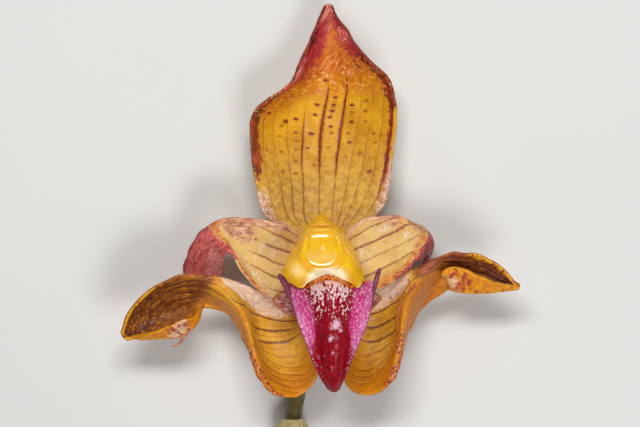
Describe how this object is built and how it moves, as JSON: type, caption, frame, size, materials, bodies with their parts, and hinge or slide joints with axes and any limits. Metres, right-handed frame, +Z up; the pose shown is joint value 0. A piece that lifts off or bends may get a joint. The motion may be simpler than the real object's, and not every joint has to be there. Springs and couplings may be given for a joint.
{
  "type": "bulbophyllum orchid bloom",
  "caption": "Open orchid bloom with a tall hooded sepal, folded petals, winged lower sepals, a tongue-like lip and a cut length of stem, lying on its back.",
  "frame": {"origin": "on the surface that the bloom lies on, at the middle of its length and width, under the middle of the bloom", "axes": "+Z up, out of the open face of the bloom; +Y along the dorsal sepal to its tip; the stem lies along -Y; +X to the right as seen from in front of the face"},
  "size_m": [0.0766, 0.0995, 0.0264],
  "materials": {
    "stem_green": "fresh olive-green stem, faintly ribbed and speckled, satin",
    "bract_green": "thin papery sheath, pale green going to buff, satin",
    "dorsal_gold": "golden sepal with dark maroon veins and spots and a velvety red tip",
    "petal_buff": "buff petal with purple-brown veins, pinkish mottling and a velvety rose-red tip",
    "lateral_amber": "amber sepal with dark curved veins and an orange rim, waxy",
    "lip_magenta": "magenta to crimson, white flecks, waxy gloss",
    "column_yellow": "bright yellow wax-like flesh, cream below, glossy",
    "cap_yellow": "deep yellow, very glossy"
  },
  "bodies": {
    "root": {"stalk": "stem_green", "bract": "bract_green", "dorsal_sepal": "dorsal_gold", "petal_left": "petal_buff", "petal_right": "petal_buff", "lateral_sepal_left": "lateral_amber", "lateral_sepal_right": "lateral_amber", "lip": "lip_magenta", "column": "column_yellow", "anther_cap": "cap_yellow"}
  },
  "joints": []
}
